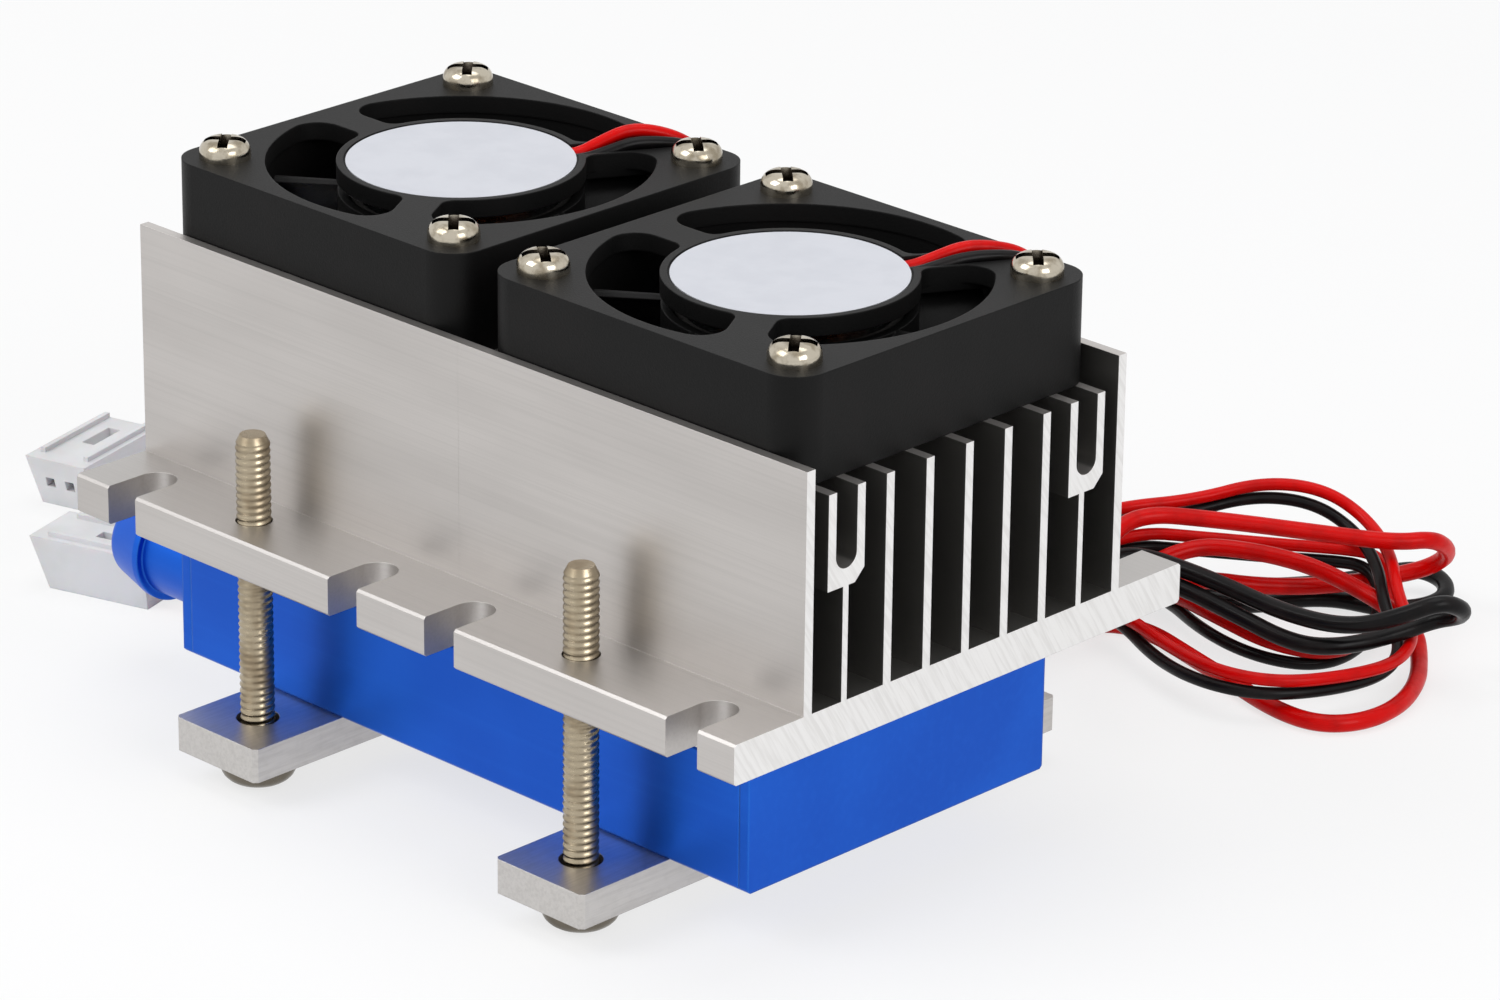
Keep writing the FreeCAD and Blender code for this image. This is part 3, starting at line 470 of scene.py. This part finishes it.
# %% One twisted tip
def tip_of(line, strands=5, sides=20, steps=12):
    # rings that climb and turn along the lead's last direction, the last one smaller
    along = (line[-1] - line[-3]).normalized()
    aim = along.to_track_quat("Z", "Y").to_matrix()
    climb, twist, sunk = 0.33, 0.22, 0.4
    thick, blunt, groove = 0.52, 0.3, 0.09

    def fill(made):
        rows = []
        for step in range(steps + 1):
            out, turn = step * climb, step * twist
            r = thick if step < steps else blunt
            row = []
            for i in range(sides):
                a = i * math.tau / sides
                lobe = r * (1 + groove * math.cos(strands * a))
                spot = (lobe * math.cos(a + turn), lobe * math.sin(a + turn), out - sunk)
                row.append(line[-1] + aim @ (Vector(spot) * mm))
            rows.append(row)
        skin(made, rows)
    return fill


# %% The modules' leads and their tips
module_wire = 1.8
for name, route, material in (("module_1_red", module_1_red, lead_red),
                              ("module_2_red", module_2_red, lead_red),
                              ("module_1_black", module_1_black, lead_black),
                              ("module_2_black", module_2_black, lead_black)):
    piece = lead(name + "_cord", route, module_wire, material, name + "_lead", "lead_hank")
    long, line = length_of(piece)
    tip = mesh_piece(name + "_tip", tip_of(line), tin.material)
    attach(tip, "cooler")
    print(piece.name, round(long / mm), "mm")

# %% [markdown]
# ## Mill aluminium
#
# Each heat sink is a saw-cut length of extrusion. The die leaves fine lines along the whole
# length, and the metal comes from the mill grey and slightly milky. The cut ends are
# brighter, with slanting marks from the saw. One material can do all of this, because the
# surface direction tells it where it is: faces that look along X are the saw cuts. The
# extrusion lines are noise that is squeezed across the length and stretched along it.
#
# Deep between the fins the colour falls, as painted shade for the dim channels. That mask is
# made from the place alone: between the walls, and above the deck. The flat faces at the
# deck's height and below are painted a little darker as well, as painted shade.
# The places are the CAD model's own: the joint of the two sinks, the deck that the fins
# stand on, and the faces of the two walls.

# %% Extrusion lines, saw marks and painted shade in the channels
joint, sink_long, cut_band = 5.5 * mm, 44.7 * mm, 0.5 * mm
deck, deck_band = 27.2 * mm, 1 * mm
walls_middle, walls_inside = -1.3 * mm, 20.3 * mm


def extrusion(name):
    metal = Finish(name, metallic=1.0)
    lengthways, depth, height = (metal.axis("Object", letter) for letter in "XYZ")
    from_joint = abs(lengthways - joint)
    ends = (from_joint < cut_band) + (from_joint > sink_long - cut_band)
    cut = abs(metal.axis("Normal", "X")).fade(0.6, 0.8) * ends
    flat = abs(metal.axis("Normal", "Z")).fade(0.6, 0.8)
    lines = metal.noise(metal.place((0.02, 3.2, 3.2)), 1.0, 3, 0.6)
    cloud = metal.noise(metal.place((0.3, 1, 1)), 0.09, 3).fade(0.35, 0.7)
    saw = metal.noise(metal.place((1, 2.6, 0.16), (math.radians(-32), 0, 0)), 1.0, 3, 0.55)
    grit = metal.noise(metal.place(), 3.5, 3)
    tone = metal.mix(cloud, rgb(198, 194, 191), rgb(190, 186, 183))
    tone = metal.mix(lines.fade(0.4, 0.72) * 0.2, tone, rgb(166, 163, 160))
    # painted shade: flat faces at the deck's height and below are darkened
    tone = metal.mix(flat * (height < deck + deck_band) * 0.4, tone, rgb(164, 163, 162))
    shade_between_walls = (abs(depth - walls_middle) < walls_inside) * (height > deck - 0.3 * mm)
    fin_tops = flat * (height > deck + deck_band)
    # painted shade: the faces between the walls, but not the cut ends or fin tops, are darkened
    tone = metal.mix(shade_between_walls * (1 - cut) * (1 - fin_tops), tone, rgb(150, 148, 145))
    sawn = metal.mix(saw.fade(0.4, 0.66) * 0.35, rgb(236, 235, 234), rgb(208, 206, 204))
    relief = lines * (1 - cut) * 0.4 + saw * cut * 0.6 + grit * 0.3
    return metal.set(base_color=metal.mix(cut, tone, sawn),
                     roughness=0.36 + lines * 0.06 + cut * 0.14 + grit * 0.06,
                     normal=metal.bump(relief, 0.04 * mm, 0.5, metal.soft_edges(0.07 * mm)))


dress(extrusion("mill_aluminium"), *pair("heat_sink"))

# %% [markdown]
# ## Flat bar
#
# The two clamp bars are cut from drawn flat bar, a little duller and rougher than the
# extrusion, with its grain along the bar. It could share the sinks' material, but its length
# runs across the sinks, and the saw and channel masks would fall in the wrong places. So it
# gets a short material of its own.

# %% Drawn grain along Y
def flat_bar(name):
    metal = Finish(name, metallic=1.0)
    grain = metal.noise(metal.place((3.2, 0.2, 3.2)), 1.0, 3, 0.6)
    spots = metal.noise(metal.place(), 0.9, 4, 0.6).fade(0.45, 0.75)
    tone = metal.mix(grain.fade(0.35, 0.7), rgb(204, 201, 198), rgb(194, 191, 188))
    tone = metal.mix(spots * 0.2, tone, rgb(172, 169, 166))
    edge = metal.soft_edges(0.12 * mm)
    return metal.set(base_color=tone, roughness=0.36 + grain * 0.1,
                     normal=metal.bump(grain, 0.03 * mm, 0.4, edge))


dress(flat_bar("bar_aluminium"), *pair("clamp_bar"))

# %% [markdown]
# ## Blue anodised block
#
# The water block is anodised: a dyed, clear oxide layer over aluminium. Light goes through
# the dye to the metal and back, so it is a metal with a coloured reflection, softened by
# the etched surface. Its edges are painted a little lighter, as wear and as a painted
# highlight. A Bevel node finds them: where the softened surface direction differs from the
# true one, there is an edge.

# %% Dyed oxide with edges painted lighter, as wear and highlight
def anodised(name):
    blue = Finish(name, metallic=0.9, coat_weight=0.05, coat_roughness=0.3)
    edge = blue.soft_edges(0.35 * mm)
    true = blue.add("NewGeometry", out="Normal")
    agree = blue.add("VectorMath", {"operation": "DOT_PRODUCT"}, {0: edge, 1: true}, 1)
    worn_and_lit_rim = (1 - agree).fade(0.02, 0.25)
    etch = blue.noise(blue.place(), 1.3, 4, 0.6)
    draw = blue.noise(blue.place((0.02, 1.2, 1.2)), 1.0, 3)
    cloud = blue.noise(blue.place(), 0.05, 2).fade(0.35, 0.65)
    tone = blue.mix(cloud, rgb(18, 94, 208), rgb(12, 84, 196))
    tone = blue.mix(draw.fade(0.45, 0.7) * 0.1, tone, rgb(34, 112, 222))
    # edges painted lighter: wear, and a painted highlight
    tone = blue.mix(worn_and_lit_rim * 0.4, tone, rgb(70, 142, 232))
    return blue.set(base_color=tone, roughness=0.38 + etch * 0.06,
                    normal=blue.bump(etch + draw, 0.02 * mm, 0.4, edge))


dress(anodised("blue_anodised"), "block_body", "block_front_cap", "block_rear_cap",
      *pair("hose_barb"))

# %% [markdown]
# ## Moulded plastics
#
# The fan frames and impellers are black polyester with a fine spark-eroded texture: dark,
# but with a broad soft sheen, and with the soft edges of every moulding. The plugs are
# natural nylon, white and a little waxy. Both get their grain from noise in the bump alone.

# %% Black frames, white plugs
def moulding(name, tone, worn, rough, grain_depth, **constants):
    plastic = Finish(name, **constants)
    grain = plastic.noise(plastic.place(), 5.0, 3, 0.6)
    cloud = plastic.noise(plastic.place(), 0.12, 3).fade(0.4, 0.7)
    edge = plastic.soft_edges(0.2 * mm)
    return plastic.set(base_color=plastic.mix(cloud, tone, worn), roughness=rough + grain * 0.12,
                       normal=plastic.bump(grain, grain_depth, 0.6, edge))


black_plastic = moulding("black_plastic", rgb(13, 13, 13), rgb(17, 16, 16), rough=0.44,
                         grain_depth=0.04 * mm, specular_ior_level=0.14)
dress(black_plastic, *pair("fan_frame", "impeller"))
white_nylon = moulding("plug_nylon", rgb(228, 228, 230), rgb(218, 218, 218), rough=0.3,
                       grain_depth=0.03 * mm, subsurface_weight=0.15, subsurface_scale=1 * mm)
dress(white_nylon, *pair("fan_plug"))
dress(tin.material, *pair("plug_contacts"))

# %% [markdown]
# ## A bare label
#
# Each motor is covered by a round pale label. Printing would name a maker, so the label
# stays bare. It is silvered film under a satin varnish: pale, slightly blue, and mottled by
# the glue under it.

# %% Satin film
film = Finish("label_film", metallic=0.15, specular_ior_level=0.3)
mottle = film.noise(film.place(), 0.25, 3).fade(0.35, 0.7)
film.set(base_color=film.mix(mottle, rgb(208, 210, 217), rgb(204, 206, 213)),
         roughness=0.4 + mottle * 0.1, normal=film.bump(mottle, 0.05 * mm, 0.3))
dress(film.material, *pair("fan_label"))

# %% [markdown]
# ## Nickel screws with a cross recess
#
# Eight bright pan-head screws hold the fans, and four long machine screws clamp the stack.
# The CAD heads are plain domes. A cross recess is what makes a screw read as a screw, so
# each head is turned again in Blender, as a ring of profile points about the axis, and a
# tapered cross is cut out of it with a Boolean modifier. The modifier is then applied, so
# that nothing is worked out again later.
#
# Nickel mirrors what is round it, and a recess fills with grime and shadow. An Ambient
# Occlusion node tells how much open space each spot sees, and where it sees little, the
# colour is painted down to dark brown: grime, and painted shade for the recess.

# %% Nickel with grime and painted shade in the recess
nickel = Finish("nickel_plate", metallic=1.0)
haze = nickel.noise(nickel.place(), 0.8, 3).fade(0.4, 0.7)
open_space = nickel.add("AmbientOcclusion", {"samples": 8, "only_local": True},
                        {"Distance": 1.2 * mm}, "AO")
tone = nickel.mix(haze, rgb(190, 182, 166), rgb(146, 136, 118))
# grime and painted shade: where little open space is seen, the colour falls to dark brown
nickel.set(base_color=nickel.mix(open_space.fade(0.45, 0.9), rgb(40, 34, 28), tone),
           roughness=0.14 + haze * 0.14,
           normal=nickel.bump(nickel.noise(nickel.place(), 2.5, 2), 0.02 * mm, 0.4))
print("plating:", nickel.material.name)


# %% Turn a profile, and shape a cross
def turned_profile(profile, sides=48):
    # rings about the upright axis, one for each pair of radius and height
    angles = [i * math.tau / sides for i in range(sides)]
    around = [(math.cos(a), math.sin(a)) for a in angles]

    def fill(made):
        skin(made, [[(r * mm * x, r * mm * y, z * mm) for x, y in around] for r, z in profile])
    return fill


def cross_cutter(top, depth, span, width):
    # a four-winged wedge, wide above the head and narrower at the bottom of the recess
    above = 0.6

    def fill(made):
        rows = []
        for z, share in ((top + above, 1.05), (top - depth, 0.8)):
            s, w = span / 2 * share, width / 2 * (0.75 + share / 4)
            outline = ((s, -w), (s, w), (w, w), (w, s), (-w, s), (-w, w), (-s, w), (-s, -w),
                       (-w, -w), (-w, -s), (w, -s), (w, -w))
            rows.append([(x * mm, y * mm, z * mm) for x, y in outline])
        skin(made, rows)
    return fill


# %% Cut one mesh from another, and set a head's profile
def cut_from(piece, cutter):
    cut = piece.modifiers.new("recess", "BOOLEAN")
    cut.operation, cut.object, cut.solver = "DIFFERENCE", cutter, "EXACT"
    bpy.context.view_layer.update()
    done = piece.evaluated_get(bpy.context.evaluated_depsgraph_get())
    mesh = bpy.data.meshes.new_from_object(done)
    piece.modifiers.clear()
    piece.data = mesh
    bpy.data.objects.remove(cutter)
    return piece


def domed(r, side, flat, tall, steps=7):
    # head profile from its foot over a rounded shoulder to the flat middle
    rows = [(r, 0), (r, side)]
    for i in range(1, steps + 1):
        a = math.pi / 2 * i / steps
        rows.append((flat + (r - flat) * math.cos(a), side + (tall - side) * math.sin(a)))
    return rows


shank = [(1.3, -4), (1.3, 0)]
small_head = mesh_piece("small_head",
                        turned_profile(shank + domed(r=2.5, side=0.6, flat=1.2, tall=1.9)),
                        nickel.material)
small_cross = mesh_piece("cutter", cross_cutter(top=1.9, depth=1.4, span=4.3, width=1.0),
                         nickel.material)
small_head = cut_from(small_head, small_cross)
print("screw head", len(small_head.data.polygons), "faces")


# %% Copy a pattern into one mesh
def copies(name, pattern, places, material):
    # the pattern at each place, each turned about the upright axis by its own angle
    def fill(made):
        for spot, turn in places:
            part = bmesh.new()
            part.from_mesh(pattern.data)
            move = Matrix.Translation(spot) @ Matrix.Rotation(turn, 4, "Z")
            bmesh.ops.transform(part, matrix=move, verts=part.verts)
            spare = bpy.data.meshes.new("spare")
            part.to_mesh(spare)
            made.from_mesh(spare)
            bpy.data.meshes.remove(spare)
            part.free()
    piece = mesh_piece(name, fill, material, angle=32)
    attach(piece, "cooler")
    return piece


# %% [markdown]
# ## Eight fan screws
#
# A fan's four holes lie on a square, 16 mm each way from its middle, which the CAD node's box
# gives. Screws driven by hand stop at any angle, so each is turned a little differently. The
# four heads of a fan are one mesh, because that is how the CAD node counts them too.

# %% Set the fan screws
from_middle, frame_top = 16 * mm, 58 * mm
corners = ((-1, -1), (1, -1), (1, 1), (-1, 1))
driven = (0.72, 0.8, 0.88, 0.76, 0.92, 0.7, 0.78, 0.84)
for i, n in enumerate(both):
    low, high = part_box("fan_screws" + n)
    x, y = (low[0] + high[0]) / 2, (low[1] + high[1]) / 2
    places = [(Vector((x + sx * from_middle, y + sy * from_middle, frame_top)), driven[4 * i + k])
              for k, (sx, sy) in enumerate(corners)]
    piece = copies("fan_screw_heads" + n, small_head, places, nickel.material)
    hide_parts("fan_screws" + n)
    print(piece.name, "at", round(x / mm, 1), round(y / mm, 1))
bpy.data.objects.remove(small_head)

# %% [markdown]
# ## Threads that can be counted
#
# The clamp screws are threaded all the way, and the thread is their most telling detail. A
# bump map would look right from the front but leave a smooth silhouette. So the thread is
# real geometry: a tube whose radius at each point depends on how far that point is round and
# along the screw. Eight rings to a pitch are enough for a crest, two flanks and a root.
#
# The plating is yellowish zinc. The heads lie under the bars, in their shade, so they are
# painted darker than the rods.

# %% Yellow zinc
bar_foot = 3.2 * mm
plated = Finish("zinc_plate", metallic=1.0)
stain = plated.noise(plated.place(), 0.35, 4).fade(0.4, 0.7)
shade_under_bar = plated.axis("Object", "Z") < bar_foot
tone = plated.mix(stain, rgb(170, 158, 136), rgb(144, 130, 108))
# painted shade: below the bars' foot the colour falls to a dark grey
plated.set(base_color=plated.mix(shade_under_bar * 0.8, tone, rgb(96, 92, 86)),
           roughness=0.26 + stain * 0.16,
           normal=plated.bump(plated.noise(plated.place(), 2.0, 2), 0.02 * mm, 0.4))
print("plating:", plated.material.name)


# %% Wind the thread
def threaded(foot, top, crest, root, pitch, sides=28, rings=8):
    # crest and root are each flat for about a tenth of the pitch, and the tip is bevelled
    count = int(round((top - foot) / pitch * rings))
    steep, root_share = 2.5, 0.12
    tip_bevel, tip_slope = 0.9, 0.5

    def fill(made):
        rows = []
        for k in range(count + 1):
            z = foot + (top - foot) * k / count
            row = []
            for i in range(sides):
                a = i * math.tau / sides
                phase = (z / pitch - i / sides) % 1.0
                rise = min(1.0, max(0.0, steep * abs(phase - 0.5) - root_share))
                r = root + (crest - root) * rise
                r = min(r, crest - tip_slope * max(0.0, z - (top - tip_bevel)))
                row.append((r * mm * math.cos(a), r * mm * math.sin(a), z * mm))
            rows.append(row)
        skin(made, rows)
    return fill


head_tall = 3.1
upside_down = [(r, head_tall - z) for r, z in domed(r=3.7, side=1.4, flat=1.2, tall=head_tall)]
big_head = mesh_piece("big_head", turned_profile(upside_down), plated.material)
big_cross = mesh_piece("cutter", cross_cutter(top=0.6, depth=2.4, span=3.6, width=1.05),
                       plated.material)
big_head = cut_from(big_head, big_cross)
rod = mesh_piece("rod", threaded(foot=3.0, top=36.0, crest=1.7, root=1.57, pitch=0.7),
                 plated.material)
print("thread has", len(rod.data.polygons), "faces")

# %% Stand the four clamp screws
head_r, stopped_at = 3.7 * mm, (0.4, 1.4)
for n in both:
    low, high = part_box("clamp_screws" + n)
    x = (low[0] + high[0]) / 2
    spots = [Vector((x, low[1] + head_r, 0)), Vector((x, high[1] - head_r, 0))]
    for part, pattern in (("heads", big_head), ("threads", rod)):
        places = list(zip(spots, stopped_at))
        piece = copies("clamp_%s%s" % (part, n), pattern, places, plated.material)
        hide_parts("clamp_screws" + n)
    print("clamp screws" + n, "at", [tuple(round(v / mm, 1) for v in spot) for spot in spots])
for spare in (big_head, rod):
    bpy.data.objects.remove(spare)

# %% [markdown]
# ## The sandwich and the motor
#
# The module's plates are alumina, its pellets are a grey semiconductor, and silicone seals
# its rim. In the motor are a steel core, copper coils, a ferrite ring, a bronze sleeve and a
# green board. Little of this shows, but each is a real material, and a part that is cut open
# or looked at from below should not end in plain grey. One function makes them all from two
# tones, a grain size and a few constants.

# %% Eight small finishes
def fine(name, one, two, grain, rough, **constants):
    stuff = Finish(name, **constants)
    mottled = stuff.noise(stuff.place(), grain, 4, 0.6).fade(0.3, 0.7)
    return stuff.set(base_color=stuff.mix(mottled, one, two), roughness=rough + mottled * 0.15,
                     normal=stuff.bump(mottled, 0.03 * mm, 0.4))


dress(fine("ceramic_white", rgb(236, 236, 230), rgb(222, 222, 214), 1.5, 0.45),
      *pair("module_cold_plate", "module_hot_plate"))
dress(fine("pellet_grey", rgb(120, 122, 126), rgb(92, 94, 99), 3.0, 0.4, metallic=0.6),
      *pair("pellet_bed"))
dress(fine("seal_silicone", rgb(232, 232, 228), rgb(208, 208, 202), 0.5, 0.5),
      *pair("module_seal"))
dress(fine("core_steel", rgb(150, 152, 156), rgb(112, 112, 114), 2.0, 0.35, metallic=1.0),
      *pair("stator_core"))
dress(fine("magnet_rubber", rgb(66, 64, 62), rgb(48, 46, 45), 2.5, 0.7), *pair("rotor_magnet"))
dress(fine("shaft_steel", rgb(214, 214, 216), rgb(188, 188, 190), 2.0, 0.15, metallic=1.0),
      *pair("rotor_shaft"))
dress(fine("bronze", rgb(186, 140, 84), rgb(140, 98, 56), 4.0, 0.4, metallic=1.0),
      *pair("bearing_sleeve"))
dress(fine("board_green", rgb(30, 104, 58), rgb(20, 84, 44), 0.8, 0.3, coat_weight=0.4),
      *pair("fan_board"))

# %% [markdown]
# ## Copper windings
#
# A winding is hundreds of turns of enamelled wire. Modelled turns would cost many faces for
# something that hides inside the motor, so bands of a Wave texture stand for the turns, in
# the colour and in the bump, under a thin clear coat for the enamel.

# %% Bands for turns of wire
copper = Finish("copper_wire", metallic=1.0, coat_weight=0.5, coat_roughness=0.1)
strands = copper.add("TexWave", {"wave_type": "BANDS", "bands_direction": "DIAGONAL"},
                     {"Vector": copper.place(), "Scale": 1.6, "Distortion": 0.6}, 1)
copper.set(base_color=copper.mix(strands, rgb(206, 122, 74), rgb(140, 70, 36)),
           roughness=0.25 + strands * 0.15, normal=copper.bump(strands, 0.1 * mm, 0.8))
dress(copper.material, *pair("stator_coils"))

# %% [markdown]
# ## A paper floor
#
# A product shot on white needs a floor that reads as paper yet still takes the object's
# shadow. A brighter lamp would whiten the floor, but it would bleach the object too. So the
# floor is matt white, mixed with white light that only rays from the camera, from
# reflections and through glass can see, and none of it spills on the object.

# %% Matt paper that glows only when looked at
glow_share = 0.72
paper = Finish("paper_floor", roughness=0.9, specular_ior_level=0.2)
paper_tone = paper.noise(paper.place(), 0.004, 2)
paper.set(base_color=paper.mix(paper_tone, (0.90, 0.90, 0.90, 1), (0.92, 0.92, 0.92, 1)))
matt = Flow(paper, paper.shader.outputs[0])
glow = paper.add("Emission", None, {"Color": (1, 1, 1, 1), "Strength": 1.0})
paper.end_with("Material Output",
               paper.add("MixShader", None,
                         {0: paper.seen_directly() * glow_share, 1: matt, 2: glow}))


def paper_sheet(made, half=3):
    # one square, in metres, far larger than the picture
    corners = ((-half, -half, 0), (half, -half, 0), (half, half, 0), (-half, half, 0))
    made.faces.new([made.verts.new(Vector(corner)) for corner in corners])


floor = mesh_piece("floor", paper_sheet, paper.material, smooth=False)
print("floor is", round(floor.dimensions.x), "m wide")

# %% [markdown]
# ## An even dome
#
# The world does the same as the floor: the camera and the metal see plain white, and the
# object itself is lit by a dim, even grey dome. The world's graph is wrapped by the same
# class as a material's, so the same `add` and `seen_directly` serve it.

# %% The world
world = bpy.data.worlds.new("studio")
scene.world = world
world.use_nodes = True
sky = Graph(world.node_tree)
sky.tree.nodes.remove(sky.tree.nodes["Background"])
even = sky.add("Background", None, {"Color": (0.97, 0.98, 1.0, 1), "Strength": 0.45})
white = sky.add("Background", None, {"Color": (1, 1, 1, 1), "Strength": 1.0})
sky.end_with("World Output",
             sky.add("MixShader", None, {0: sky.seen_directly(), 1: even, 2: white}))
print("world graph has", len(sky.tree.nodes), "nodes")

# %% [markdown]
# ## Three soft lamps
#
# Large square lamps close by give the soft, wide highlights of a light tent. The key lamp
# stands at the camera's left and shapes the near wall, the side lamp lifts the sawn ends and
# the fan's side, and the top lamp opens the fans. Their power is low enough that the pale
# aluminium keeps its tone and never clips to white.

# %% Softboxes that aim at the part's middle
middle = Vector((0, 0, 0.03))


def softbox(name, spot, size, power):
    data = bpy.data.lights.new(name, "AREA")
    data.shape, data.size, data.energy = "SQUARE", size, power
    lamp = bpy.data.objects.new(name, data)
    lamp.location = spot
    lamp.rotation_euler = (middle - Vector(spot)).to_track_quat("-Z", "Y").to_euler()
    bpy.context.collection.objects.link(lamp)


softbox("key", spot=(-0.35, -0.75, 0.8), size=0.6, power=5)
softbox("side", spot=(0.9, -0.15, 0.45), size=0.5, power=3)
softbox("top", spot=(0.0, 0.1, 1.1), size=0.8, power=3.5)
scene.view_settings.view_transform = "Standard"

# %% [markdown]
# ## A last update
#
# Last, the view layer is updated, so that every piece stands where it was put.

# %% Finish
bpy.context.view_layer.update()
